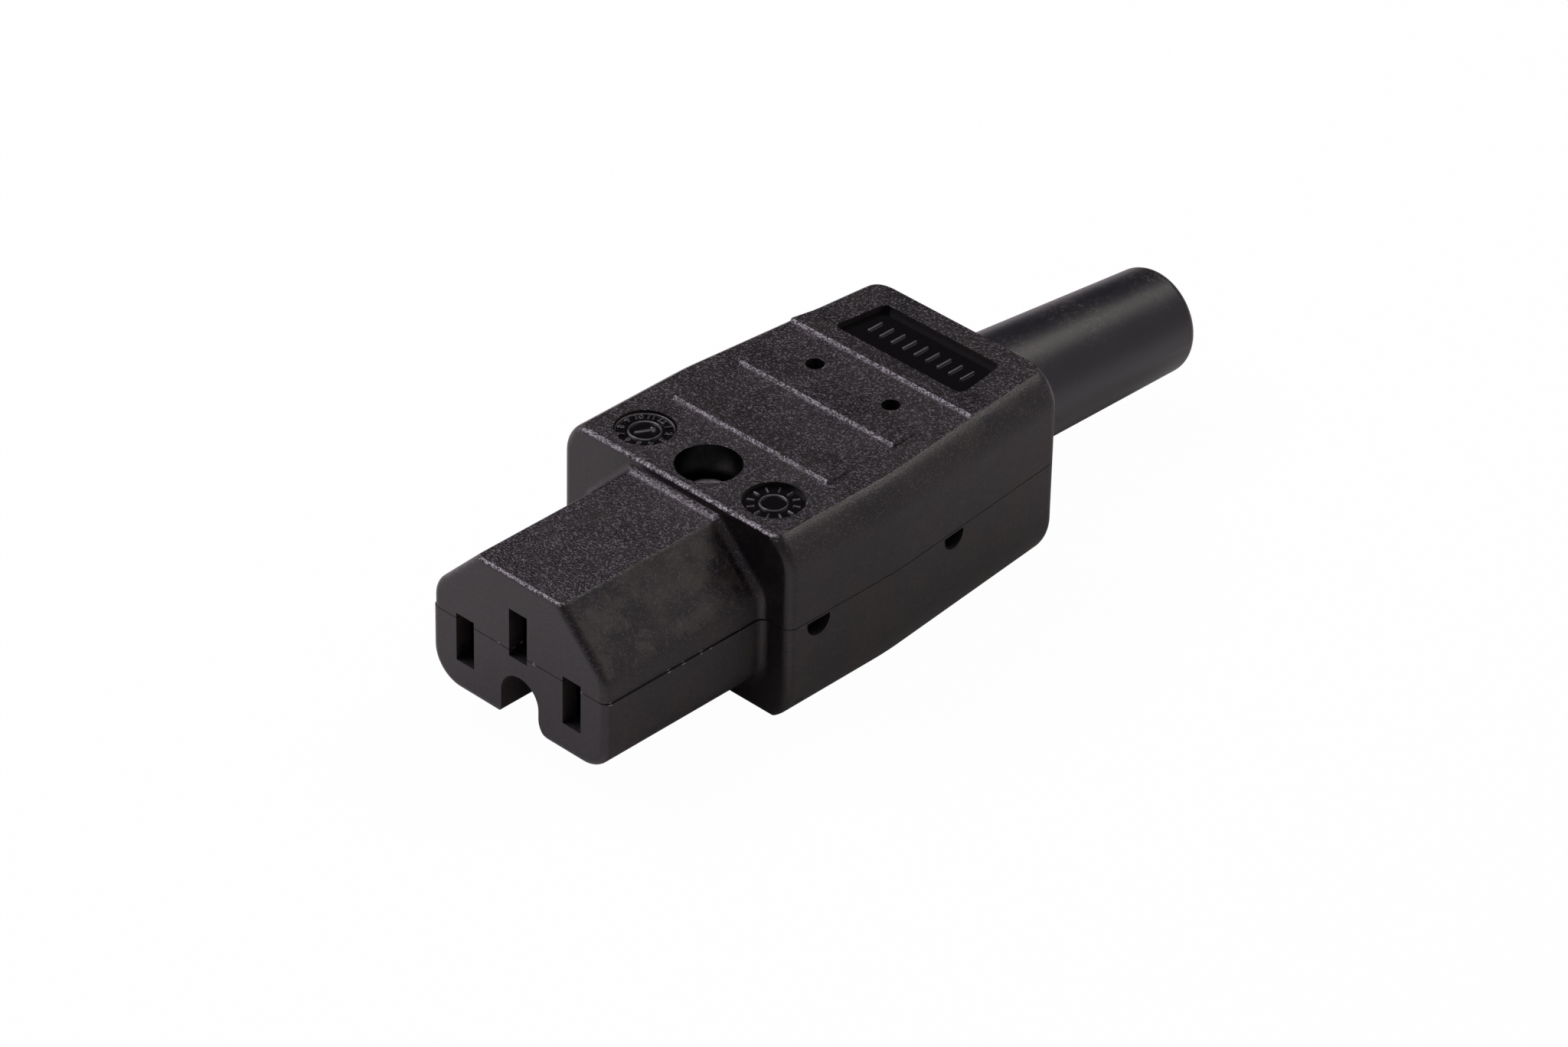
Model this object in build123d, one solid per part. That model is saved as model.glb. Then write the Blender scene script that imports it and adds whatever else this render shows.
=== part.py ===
"""Rewireable connector with a notched nose: two moulded shells held by one screw, three folded brass
contacts with screw terminals, a cord clamp and a rubber boot. One STEP file per piece, in millimetres.

Frame: +Y runs from the nose face towards the cord, +Z is up, and the origin lies on the nose face,
midway between the centres of the two power slots."""

import math
import os

from build123d import *

# Pins of the mating inlet
pin_spacing = 14.0
earth_offset = 4.0
pin_height = 4.0

# Nose
nose_length = 20.2
nose_half_width = 11.5
nose_top = 10.24
nose_bottom = -5.95
nose_flat_half_width = 5.6
nose_chamfer_blend = 3.0
nose_corner_left = 3.6
nose_corner_right = 3.2
nose_edge = 0.85
nose_top_edge = 0.42
nose_root = 0.85
upper_inset = 0.15

# Keying notch in the underside of the nose
notch_centre = 0.2
notch_half_width = 2.45
notch_apex = -0.5
notch_mouth_left = 1.2
notch_mouth_right = 2.1

# Slots in the nose face
slot_width = 2.35
slot_height = 5.25
slot_wall = 1.8

# Body
body_length = 39.0
body_half_width = 14.92
body_rear_half_width = 12.75
body_straight = 14.8
body_top = 11.55
body_bottom = -8.85
knee_blend = 30.0
top_round = 4.1
top_round_turn = 60.0
bottom_round = 5.2
bottom_round_turn = 56.0
rear_edge = 1.6
front_edge = 1.0
front_top_edge = 0.42
wall = 2.0
cavity_corner = 3.0
cavity_edge = 1.2
parting_gap = 0.08

# Channels that hold the contacts
channel_half_width = 2.7
power_channel_depth = 3.4
channel_clearance = 0.3

# Folded brass contacts
strip = 0.6
strip_bend = 0.5
leaf_gap = 1.8
leaf_spread = 1.75
leaf_height = 4.4
leaf_start = 2.5
leaf_pinch = 5.6
leaf_straight = 10.0
leaf_end = 18.0
leaf_flare = 1.6
leaf_blend = 2.0
bridge_clearance = 0.1
tail_width = 4.8
tail_level = 3.4
joggle_run = 1.6
tail_bend_gap = 0.5
tail_end_inset = 0.3

# Steel clips round the contact leaves
clip = 0.4
clip_start = 4.2
clip_length = 3.4
clip_clearance = 0.06

# Terminals
block_width = 5.8
block_length = 7.6
block_height = 5.4
block_edge = 0.4
wire_hole_radius = 1.5
power_terminal_x = 7.9
power_terminal_y = 29.6
earth_terminal_y = 34.4
rivet_radius = 1.1
rivet_head_radius = 1.7
rivet_head_height = 0.5
terminal_screw_radius = 1.5
terminal_head_radius = 2.6
terminal_head_height = 1.7
terminal_screw_length = 2.6
wire_hole_z = 1.0
rest_pad_width = 3.2
rest_pad = 0.9
driver_slot = 0.8
driver_depth = 0.9
screw_chamfer = 0.3

# Assembly screw and nut
screw_y = 24.55
access_radius = 3.25
head_depth = 3.1
head_radius = 2.75
head_height = 2.1
head_dome = 0.9
screw_radius = 1.5
screw_hole_radius = 1.65
cross_span = 3.2
cross_width = 0.9
cross_depth = 1.1
cross_turn = 35.0
seat_floor = 1.4
boss_radius = 4.5
boss_foot_radius = 3.9
spigot_radius = 2.7
ring_width = 1.5
nut_across_flats = 5.5
nut_thickness = 2.4
nut_cover = 0.9
nut_chamfer = 0.3
screw_end = 0.4

# Cord clamp
clamp_y = 43.85
clamp_hole_spacing = 9.9
clamp_core_radius = 0.94
clamp_screw_radius = 1.45
clamp_screw_engagement = 4.2
clamp_head_radius = 2.5
clamp_head_height = 1.6
clamp_boss_radius = 2.6
clamp_bar_half_length = 8.2
clamp_bar_width = 5.0
clamp_bar_thickness = 2.6
clamp_bar_under = 2.0
clamp_bar_corner = 1.2
clamp_rib = 1.6
cord_radius = 3.3
cord_grip = 0.25
cord_tooth = 0.8

# Boot, whose axis is also the cord's
axis_z = 1.7
boot_end = 87.6
boot_droop = 4.0
boot_root_radius = 6.55
boot_end_radius = 5.5
boot_end_edge = 1.0
boot_bore_radius = 3.6
boot_flange_radius = 7.3
boot_flange = 2.6
boot_flange_edge = 1.0
boot_rib = 1.2
boot_rib_opening = 5.2

# Barriers between the wiring spaces
barrier = 1.2
barrier_start = 29.2
barrier_length = 9.6

# Locating pegs between the shells
peg_radius = 0.8
peg_height = 1.5
peg_wall = 1.0
peg_inset = 2.2
rear_peg_inset = 2.6

# Marks and grips on the top face
grip_height = 0.35
grip_run = 4.0
grip_face = 0.35
grip_half_width = 10.0
grip_places = (29.8, 38.6)
rear_grip_y = 47.35
dial_x = 8.4
dial_y = 24.6
dial_radius = 3.0
dial_depth = 0.4
label_y = 49.8
label_length = 6.5
label_front_half_width = 8.4
label_rear_half_width = 7.5
label_corner = 0.8
label_depth = 0.6

# Half-moon recesses in the sides of the lower shell
moon_places = ((24.1, 1.5), (43.15, 1.4))
moon_drop = 0.2
moon_straight = 0.3
moon_depth = 1.4

# Clearances
running = 0.05
loose = 0.15

# How near an edge or corner lies to the place by which it is picked
near = 0.02

# How far a cutter reaches past the surface that it opens, and one body into another of its piece
over = 1.0
bite = 0.1

# Worked out from the sizes above
parting = earth_offset / 2
body_front = nose_length
body_rear = body_front + body_length
power_x = pin_spacing / 2
ceiling = body_top - wall
floor = body_bottom + wall
boot_start = body_rear - wall - boot_flange
head_top = body_top - head_depth
screw_seat = head_top - head_height
knee_y = body_front + body_straight
cavity_front = body_front + wall
pivot_y = boot_start + boot_flange / 2
boot_rib_rear = boot_start - loose
boot_rib_front = boot_rib_rear - boot_rib
clamp_x = clamp_hole_spacing / 2
cord_top = axis_z + cord_radius
bar_bottom = axis_z - cord_radius - clamp_bar_under
nut_top = body_bottom + nut_cover + nut_thickness
bridge_inside = pin_height / 2 + bridge_clearance
bridge_outside = bridge_inside + strip
strip_half_width = leaf_spread + strip / 2 + loose
earth_strip_low = earth_offset - bridge_outside
ring_radius = spigot_radius + running + ring_width
tail_top = tail_level + strip
block_bottom = tail_level - block_height
clip_inside = leaf_spread + clip_clearance
barrier_x = power_terminal_x / 2
rest_pad_offset = (block_length - rest_pad) / 2
taper = (body_half_width - body_rear_half_width) / (body_rear - knee_y)


def block_between(low, high):
    """A box from its lowest to its highest corner."""
    size = [b - a for a, b in zip(low, high)]
    middle = [(a + b) / 2 for a, b in zip(low, high)]
    return Pos(*middle) * Box(*size)


def upright(radius, low, high, x=0.0, y=0.0):
    """A cylinder along Z between two heights."""
    return Pos(x, y, (low + high) / 2) * Cylinder(radius, high - low)


def half_width_at(y):
    """Half the outer width of the body at a distance behind the nose face."""
    return body_half_width - taper * max(0.0, y - knee_y)


def body_plan():
    """Outline of the body seen from above: straight sides that taper behind the knee."""
    points = [
        (-body_half_width, body_front),
        (body_half_width, body_front),
        (body_half_width, knee_y),
        (body_rear_half_width, body_rear),
        (-body_rear_half_width, body_rear),
        (-body_half_width, knee_y),
    ]
    plan = make_face(Polyline(*points, close=True))
    knees = [v for v in plan.vertices() if abs(v.Y - knee_y) < near]
    return fillet(knees, knee_blend)


def side_edges(solid, height):
    """Edges of a flat end that run along the sides, not across the front or rear."""
    edges = [e for e in solid.edges() if abs(e.center().Z - height) < near]
    return [e for e in edges if abs(e.tangent_at(0.5).Y) > 0.5]


def soften_front(solid, top, top_radius, radius):
    """Round the edges of the foremost face: its top edge a little, and all the others more."""
    front = solid.faces().sort_by(Axis.Y)[0]
    solid = fillet([e for e in front.edges() if e.center().Z < top - near], radius)
    front = solid.faces().sort_by(Axis.Y)[0]
    return fillet([e for e in front.edges() if e.center().Z > top - near], top_radius)


def body_solid():
    """The body is rounded along its sides and rear, and its top and underside are cut flat."""
    top_over = top_round * (1 - math.sin(math.radians(top_round_turn)))
    bottom_over = bottom_round * (1 - math.sin(math.radians(bottom_round_turn)))
    low = body_bottom - bottom_over
    high = body_top + top_over
    solid = Pos(0, 0, low) * extrude(body_plan(), high - low)
    solid = fillet(side_edges(solid, high), top_round)
    solid = fillet(side_edges(solid, low), bottom_round)
    rear = solid.faces().sort_by(Axis.Y)[-1]
    solid = fillet(rear.edges(), rear_edge)
    reach = 2 * body_length
    solid = solid & block_between((-reach, 0, body_bottom), (reach, reach, body_top))
    return soften_front(solid, body_top, front_top_edge, front_edge)


def nose_outline(half_width):
    """Outline of the nose without its notch: chamfered top corners and rounded lower corners."""
    shoulder = nose_top - (half_width - nose_flat_half_width)
    outline = make_face(Polyline(
        (-nose_flat_half_width, nose_top),
        (nose_flat_half_width, nose_top),
        (half_width, shoulder),
        (half_width, nose_bottom),
        (-half_width, nose_bottom),
        (-half_width, shoulder),
        close=True,
    ))
    rounds = [
        (half_width, shoulder, nose_chamfer_blend),
        (-half_width, shoulder, nose_chamfer_blend),
        (half_width, nose_bottom, nose_corner_right),
        (-half_width, nose_bottom, nose_corner_left),
    ]
    for x, z, radius in rounds:
        corner = outline.vertices().sort_by_distance((x, z, 0))[0]
        outline = fillet(corner, radius)
    return outline


def nose_solid(half_width):
    """The nose, let into the front wall of the body."""
    outline = Plane.XZ * nose_outline(half_width)
    solid = extrude(outline, nose_length + wall / 2, dir=(0, 1, 0))
    return soften_front(solid, nose_top, nose_top_edge, nose_edge)


def notch_cutter():
    """The keying notch with the space below the nose, so that its mouth comes out rounded."""
    notch_left = notch_centre - notch_half_width
    notch_right = notch_centre + notch_half_width
    spring_line = notch_apex - notch_half_width
    below = nose_bottom - wall
    reach = 3 * notch_half_width
    section = make_face(
        Polyline((notch_right, spring_line), (notch_right, nose_bottom), (reach, nose_bottom),
                 (reach, below), (-reach, below), (-reach, nose_bottom), (notch_left, nose_bottom),
                 (notch_left, spring_line))
        + ThreePointArc((notch_left, spring_line), (notch_centre, notch_apex), (notch_right, spring_line))
    )
    mouths = [(notch_right, notch_mouth_right), (notch_left, notch_mouth_left)]
    for x, radius in mouths:
        corner = section.vertices().sort_by_distance((x, nose_bottom, 0))[0]
        section = fillet(corner, radius)
    section = Pos(0, -wall, 0) * (Plane.XZ * section)
    return extrude(section, nose_length + wall, dir=(0, 1, 0))


def outer_solid(half_width):
    """Body and nose together, with the hollow blend where the nose leaves the body."""
    solid = body_solid() + nose_solid(half_width)
    root = [
        e for e in solid.edges()
        if abs(e.bounding_box().min.Y - body_front) < near
        and abs(e.bounding_box().max.Y - body_front) < near
        and abs(e.center().X) < half_width + near
        and nose_bottom - near < e.center().Z < nose_top + near
    ]
    return fillet(root, nose_root) - notch_cutter()


def cavity(low, high, end):
    """The hollow of one shell, with rounded corners, blended at its closed end."""
    plan = offset(body_plan(), -wall)
    corners = [v for v in plan.vertices() if abs(v.Y - knee_y) > 2 * cavity_corner + over]
    plan = fillet(corners, cavity_corner)
    hollow = Pos(0, 0, low) * extrude(plan, high - low)
    closed = [e for e in hollow.edges() if abs(e.center().Z - end) < near]
    return fillet(closed, cavity_edge)


def contact_cutters():
    """The channels for the three contacts, the slots into them and the way for the earth strip."""
    deep = power_channel_depth
    shallow = bridge_outside + channel_clearance
    cutters = []
    for x in (-power_x, power_x):
        cutters.append(block_between(
            (x - channel_half_width, slot_wall, -deep),
            (x + channel_half_width, cavity_front + over, shallow),
        ))
    cutters.append(block_between(
        (-channel_half_width, slot_wall, earth_offset - shallow),
        (channel_half_width, leaf_end + over, earth_offset + deep),
    ))
    cutters.append(block_between(
        (-strip_half_width, slot_wall, earth_strip_low),
        (strip_half_width, cavity_front + over, parting),
    ))
    cutters.append(upright(ring_radius + loose, earth_strip_low, parting, 0, screw_y))
    for x, z in ((-power_x, 0), (power_x, 0), (0, earth_offset)):
        cutters.append(block_between(
            (x - slot_width / 2, -over, z - slot_height / 2),
            (x + slot_width / 2, slot_wall + over, z + slot_height / 2),
        ))
    return cutters


def boot_axis():
    """Plane whose normal is the axis of the boot, which droops a little."""
    droop = math.radians(boot_droop)
    return Plane(origin=(0, pivot_y, axis_z), x_dir=(1, 0, 0), z_dir=(0, math.cos(droop), -math.sin(droop)))


def peg_places():
    """Centres of the pegs in the four corners of the shells."""
    rear_y = body_rear - rear_peg_inset
    front_x = body_half_width - peg_inset
    rear_x = half_width_at(rear_y) - rear_peg_inset
    front_y = body_front + peg_inset
    return [(-front_x, front_y), (front_x, front_y), (-rear_x, rear_y), (rear_x, rear_y)]


def shared_ribs(low, high):
    """Barriers, boot rib and peg bosses, which both shells have at the same places."""
    ribs = []
    for side in (-1, 1):
        ribs.append(block_between(
            (side * barrier_x - barrier / 2, barrier_start, low),
            (side * barrier_x + barrier / 2, barrier_start + barrier_length, high),
        ))
    rib = block_between((-body_half_width, boot_rib_front, low), (body_half_width, boot_rib_rear, high))
    rib = rib & outer_prism(low, high)
    opening = Pos(0, boot_rib_front, axis_z) * Rot(90, 0, 0) * Cylinder(boot_rib_opening, 4 * boot_rib)
    ribs.append(rib - opening)
    for x, y in peg_places():
        ribs.append(upright(peg_radius + peg_wall, low, high, x, y))
    return ribs


def outer_prism(low, high):
    """The body's plan between two heights, half a wall inside its surface."""
    return Pos(0, 0, low) * extrude(offset(body_plan(), -wall / 2), high - low)


def grip(y, half_width):
    """A low wedge with its steep face towards the nose."""
    profile = make_face(Polyline(
        (y, body_top - grip_height),
        (y, body_top),
        (y + grip_face, body_top + grip_height),
        (y + grip_run, body_top),
        (y + grip_run, body_top - grip_height),
        close=True,
    ))
    profile = Pos(-half_width, 0, 0) * (Plane.YZ * profile)
    return extrude(profile, 2 * half_width, dir=(1, 0, 0))


def label_recess():
    """The sunk panel near the rear, narrower towards the cord."""
    rear = label_y + label_length
    panel = make_face(Polyline(
        (-label_front_half_width, label_y),
        (label_front_half_width, label_y),
        (label_rear_half_width, rear),
        (-label_rear_half_width, rear),
        close=True,
    ))
    panel = fillet(panel.vertices(), label_corner)
    return Pos(0, 0, body_top - label_depth) * extrude(panel, 2 * label_depth)


def moon_cutter(side, y, radius):
    """A half-round recess with a flat top, just under the parting line."""
    surface = half_width_at(y)
    high = parting - moon_drop
    low = high - moon_straight
    section = make_face(
        Polyline((y + radius, low), (y + radius, high), (y - radius, high), (y - radius, low))
        + ThreePointArc((y - radius, low), (y, low - radius), (y + radius, low))
    )
    section = Pos(side * (surface - moon_depth), 0, 0) * (Plane.YZ * section)
    return extrude(section, moon_depth + over, dir=(side, 0, 0))


def upper_shell():
    """Top shell: carries the contacts, the terminals and the clamp, and takes the screw's head."""
    low = parting + parting_gap
    solid = outer_solid(nose_half_width - upper_inset)
    solid = solid & block_between((-body_half_width, 0, low), (body_half_width, body_rear, body_top))
    solid = solid - cavity(parting - over, ceiling, ceiling)
    ribs = shared_ribs(low, ceiling)
    ribs.append(upright(boss_radius, screw_seat - seat_floor, ceiling, 0, screw_y))
    ribs.append(upright(boss_foot_radius, parting, ceiling, 0, screw_y))
    across = block_between(
        (-body_half_width, clamp_y - clamp_rib / 2, cord_top),
        (body_half_width, clamp_y + clamp_rib / 2, ceiling),
    )
    ribs.append(across & outer_prism(cord_top, ceiling))
    for side in (-1, 1):
        ribs.append(upright(clamp_boss_radius, cord_top, ceiling, side * clamp_x, clamp_y))
    ribs.append(block_between(
        (-cord_radius, clamp_y - cord_tooth / 2, cord_top - cord_grip),
        (cord_radius, clamp_y + cord_tooth / 2, cord_top),
    ))
    for x, y in terminal_places():
        for end in (-1, 1):
            pad_y = y + end * rest_pad_offset
            ribs.append(block_between(
                (x - rest_pad_width / 2, pad_y - rest_pad / 2, tail_top),
                (x + rest_pad_width / 2, pad_y + rest_pad / 2, ceiling),
            ))
    solid = solid + ribs
    cutters = contact_cutters()
    cutters.append(boot_axis() * Cylinder(boot_root_radius + running, 4 * wall + 2 * boot_flange))
    cutters.append(upright(access_radius, screw_seat, body_top + over, 0, screw_y))
    cutters.append(upright(screw_hole_radius, floor, ceiling, 0, screw_y))
    for side in (-1, 1):
        x = side * clamp_x
        cutters.append(upright(clamp_screw_radius + running, cord_top - over,
                               cord_top + clamp_screw_engagement, x, clamp_y))
        cutters.append(upright(clamp_core_radius, cord_top, body_top + over, x, clamp_y))
        cutters.append(upright(dial_radius, body_top - dial_depth, body_top + over, side * dial_x, dial_y))
    for x, y in peg_places():
        cutters.append(upright(peg_radius + loose, parting, parting + peg_height + loose, x, y))
    solid = solid - cutters
    grips = [grip(y, grip_half_width) for y in grip_places]
    grips.append(grip(rear_grip_y, body_half_width) & flat_prism())
    return solid + grips - label_recess()


def flat_prism():
    """Upright prism over the flat of the top face."""
    inset = top_round * (1 - math.cos(math.radians(top_round_turn)))
    return Pos(0, 0, ceiling) * extrude(offset(body_plan(), -inset), 2 * wall)


def lower_shell():
    """Bottom shell: closes the channels, holds the nut and has the pegs."""
    solid = outer_solid(nose_half_width)
    solid = solid & block_between((-body_half_width, 0, body_bottom), (body_half_width, body_rear, parting))
    solid = solid - cavity(floor, parting + over, floor)
    ribs = shared_ribs(floor, parting)
    ribs.append(upright(boss_foot_radius, floor, earth_strip_low, 0, screw_y))
    for x, y in terminal_places():
        for end in (-1, 1):
            post_y = y + end * rest_pad_offset
            ribs.append(block_between(
                (x - rest_pad_width / 2, post_y - rest_pad / 2, floor),
                (x + rest_pad_width / 2, post_y + rest_pad / 2, block_bottom - loose),
            ))
    solid = solid + ribs
    cutters = contact_cutters()
    cutters.append(boot_axis() * Cylinder(boot_root_radius + running, 4 * wall + 2 * boot_flange))
    solid = solid - cutters
    solid = solid + upright(spigot_radius, floor, parting, 0, screw_y)
    hexagon = RegularPolygon((nut_across_flats + loose) / math.sqrt(3), 6)
    pocket = Pos(0, screw_y, body_bottom - over) * extrude(hexagon, nut_top - body_bottom + over)
    solid = solid - [pocket, upright(screw_hole_radius, nut_top, parting, 0, screw_y)]
    moons = [moon_cutter(side, y, radius) for side in (-1, 1) for y, radius in moon_places]
    solid = solid - moons
    pegs = [upright(peg_radius, floor, parting + peg_height, x, y) for x, y in peg_places()]
    return solid + pegs


def terminal_places():
    """Centres of the live, neutral and earth terminals."""
    x, y = power_terminal_x, power_terminal_y
    return [(-x, y), (x, y), (0, earth_terminal_y)]


def leaf(side, low, high):
    """One leaf of a contact: it narrows to the pinch and flares towards the tip."""
    pinch = leaf_gap / 2 + strip / 2
    path = FilletPolyline(
        (side * leaf_flare, leaf_start),
        (side * pinch, leaf_pinch),
        (side * leaf_spread, leaf_straight),
        (side * leaf_spread, leaf_end),
        radius=leaf_blend,
    )
    return Pos(0, 0, low) * extrude(trace(path, line_width=strip), high - low)


def contact(pin_x, pin_z, up, place, eyelet):
    """A folded strip: two leaves, a bridge between them and a cranked tail under the terminal pads.

    up is 1 where the bridge lies above the pin and -1 where it lies below. An eyelet in the tail
    goes round the boss of the assembly screw."""
    half = leaf_height / 2
    bridge_z = bridge_inside + strip / 2
    free = sorted((-up * half, up * half))
    joined = sorted((-up * half, up * bridge_outside))
    band = block_between((-tail_width, 0, -tail_width), (tail_width, leaf_straight, tail_width))
    solid = None
    for side in (-1, 1):
        front = leaf(side, *free) & band
        rear = leaf(side, *joined) - band
        pair = front + rear
        solid = pair if solid is None else solid + pair
    bridge = block_between(
        (-leaf_spread - strip / 2, leaf_straight, up * bridge_z - strip / 2),
        (leaf_spread + strip / 2, leaf_end, up * bridge_z + strip / 2),
    )
    solid = solid + bridge
    tail_x, tail_y = place
    offset_x = tail_x - pin_x
    crank_y = tail_y - block_length / 2 - tail_bend_gap - joggle_run
    path = FilletPolyline(
        (leaf_end - strip, up * bridge_z),
        (crank_y, up * bridge_z),
        (crank_y + joggle_run, tail_level + strip / 2 - pin_z),
        (tail_y + block_length / 2 - tail_end_inset, tail_level + strip / 2 - pin_z),
        radius=strip_bend + strip / 2,
    )
    profile = Pos(-2 * tail_width, 0, 0) * (Plane.YZ * trace(path, line_width=strip))
    sheet = extrude(profile, 4 * tail_width, dir=(1, 0, 0))
    neck = leaf_spread + strip / 2
    blank = block_between((-neck, 0, -body_top), (neck, crank_y, body_top))
    blank = blank + block_between(
        (offset_x - tail_width / 2, crank_y, -body_top),
        (offset_x + tail_width / 2, body_rear, body_top),
    )
    if eyelet:
        blank = blank + upright(ring_radius, -body_top, body_top, 0, screw_y)
    tail = sheet & blank
    tail = tail - upright(rivet_radius + running, -body_top, body_top, offset_x, tail_y)
    if eyelet:
        tail = tail - upright(spigot_radius + running, -body_top, body_top, 0, screw_y)
    return Pos(pin_x, 0, pin_z) * (solid + tail)


def spring_clip(pin_x, pin_z, up):
    """A steel clip that hugs both leaves from the side away from the bridge."""
    inside = clip_inside
    free_edge = -up * (leaf_height / 2 + clip_clearance)
    back = -up * (leaf_height / 2 + clip_clearance + clip)
    reach = up * (leaf_height / 2 - clip)
    outer = block_between(
        (-inside - clip, clip_start, min(back, reach)),
        (inside + clip, clip_start + clip_length, max(back, reach)),
    )
    bend = [e for e in outer.edges().filter_by(Axis.Y) if abs(e.center().Z - back) < near]
    outer = fillet(bend, clip + strip_bend / 2)
    inner = block_between(
        (-inside, 0, min(free_edge, 2 * reach)),
        (inside, body_front, max(free_edge, 2 * reach)),
    )
    return Pos(pin_x, 0, pin_z) * (outer - inner)


def terminal_block(x, y):
    """A brass block with a wire hole, a tapped hole from below and a rivet through the tail."""
    solid = block_between(
        (x - block_width / 2, y - block_length / 2, block_bottom),
        (x + block_width / 2, y + block_length / 2, tail_level),
    )
    solid = chamfer(solid.edges().filter_by(Axis.Z), block_edge)
    wire_hole = Pos(x, y, wire_hole_z) * Rot(90, 0, 0) * Cylinder(wire_hole_radius, 2 * block_length)
    tapped = upright(terminal_screw_radius + running, block_bottom - over, wire_hole_z, x, y)
    rivet = upright(rivet_radius, tail_level - rivet_head_height, tail_top + rivet_head_height, x, y)
    head = upright(rivet_head_radius, tail_top, tail_top + rivet_head_height, x, y)
    return solid - [wire_hole, tapped] + [rivet, head]


def terminal_screw(x, y):
    """A slotted screw that clamps the wire from below."""
    top = block_bottom + terminal_screw_length
    head_low = block_bottom - terminal_head_height
    shank = upright(terminal_screw_radius, block_bottom - bite, top, x, y)
    shank = chamfer(shank.edges().sort_by(Axis.Z)[-1], screw_chamfer)
    head = upright(terminal_head_radius, head_low, block_bottom, x, y)
    head = fillet(head.edges().sort_by(Axis.Z)[0], screw_chamfer)
    slot = block_between(
        (x - terminal_head_radius, y - driver_slot / 2, head_low - over),
        (x + terminal_head_radius, y + driver_slot / 2, head_low + driver_depth),
    )
    return head + shank - slot


def assembly_screw():
    """Pan-head screw with a cross recess, down the middle boss into the nut."""
    shank = upright(screw_radius, nut_top - nut_thickness - screw_end, screw_seat + bite, 0, screw_y)
    shank = chamfer(shank.edges().sort_by(Axis.Z)[0], screw_chamfer)
    head = upright(head_radius, screw_seat, head_top, 0, screw_y)
    head = fillet(head.edges().sort_by(Axis.Z)[-1], head_dome)
    arm = Rot(0, 0, cross_turn) * Box(cross_span, cross_width, 2 * cross_depth)
    cross = Pos(0, screw_y, head_top) * (arm + Rot(0, 0, 90) * arm)
    return head + shank - cross


def assembly_nut():
    """Hexagon nut in the underside of the lower shell."""
    blank = extrude(RegularPolygon(nut_across_flats / math.sqrt(3), 6), nut_thickness)
    corners = upright(nut_across_flats / math.sqrt(3), 0, nut_thickness)
    corners = chamfer(corners.edges().filter_by(GeomType.CIRCLE), nut_chamfer)
    nut = (blank & corners) - upright(screw_radius + running, -over, nut_thickness + over)
    return Pos(0, screw_y, nut_top - nut_thickness) * nut


def cord_clamp():
    """Bar that presses the cord against the upper shell."""
    bar = block_between(
        (-clamp_bar_half_length, clamp_y - clamp_bar_width / 2, bar_bottom),
        (clamp_bar_half_length, clamp_y + clamp_bar_width / 2, bar_bottom + clamp_bar_thickness),
    )
    bar = fillet(bar.edges().filter_by(Axis.Z), clamp_bar_corner)
    groove = Pos(0, clamp_y, axis_z) * Rot(90, 0, 0) * Cylinder(cord_radius, 2 * clamp_bar_width)
    holes = [upright(clamp_screw_radius + loose, bar_bottom - over, bar_bottom + 2 * clamp_bar_thickness,
                     side * clamp_x, clamp_y) for side in (-1, 1)]
    return bar - groove - holes


def clamp_screw(side):
    """Self-tapping screw from below, through the bar into its boss."""
    x = side * clamp_x
    low = bar_bottom - clamp_head_height
    top = cord_top + clamp_screw_engagement - screw_chamfer
    shank = upright(clamp_screw_radius, bar_bottom - bite, top, x, clamp_y)
    shank = chamfer(shank.edges().sort_by(Axis.Z)[-1], screw_chamfer)
    head = upright(clamp_head_radius, low, bar_bottom, x, clamp_y)
    head = fillet(head.edges().sort_by(Axis.Z)[0], screw_chamfer)
    arm = Box(cross_span, cross_width, 2 * cross_depth)
    cross = Pos(x, clamp_y, low) * (arm + Rot(0, 0, 90) * arm)
    return head + shank - cross


def boot():
    """Rubber boot: a flange held between the shells and a drooping, tapered sleeve."""
    length = (boot_end - pivot_y) / math.cos(math.radians(boot_droop))
    sleeve = Pos(0, 0, length / 2) * Cone(boot_root_radius, boot_end_radius, length)
    end = sleeve.edges().sort_by(Axis.Z)[-1]
    sleeve = boot_axis() * fillet(end, boot_end_edge)
    flange = Cylinder(boot_flange_radius, boot_flange)
    flange = fillet(flange.edges().filter_by(GeomType.CIRCLE), boot_flange_edge)
    flange = Pos(0, pivot_y, axis_z) * Rot(90, 0, 0) * flange
    bore = boot_axis() * Cylinder(boot_bore_radius, 4 * length)
    return sleeve + flange - bore


def build_parts():
    """Every piece by its name."""
    built = {
        "upper_shell": upper_shell(),
        "lower_shell": lower_shell(),
        "boot": boot(),
        "assembly_screw": assembly_screw(),
        "assembly_nut": assembly_nut(),
        "cord_clamp": cord_clamp(),
        "cord_clamp_screw_left": clamp_screw(-1),
        "cord_clamp_screw_right": clamp_screw(1),
    }
    pins = {"live": (-power_x, 0, 1), "neutral": (power_x, 0, 1), "earth": (0, earth_offset, -1)}
    for (pole, (x, z, up)), place in zip(pins.items(), terminal_places()):
        built[f"contact_{pole}"] = contact(x, z, up, place, eyelet=pole == "earth")
        built[f"contact_spring_{pole}"] = spring_clip(x, z, up)
        built[f"terminal_block_{pole}"] = terminal_block(*place)
        built[f"terminal_screw_{pole}"] = terminal_screw(*place)
    return built


parts = build_parts()

if __name__ == "__main__":
    os.makedirs("parts", exist_ok=True)
    for name, solid in parts.items():
        export_step(solid, f"parts/{name}.step")
        print(name, len(solid.solids()), round(solid.volume, 1))
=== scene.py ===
# Rewireable connector: finishes, moulded marks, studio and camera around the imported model.
import math

import bpy
import numpy as np
from mathutils import Matrix, Vector


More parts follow.
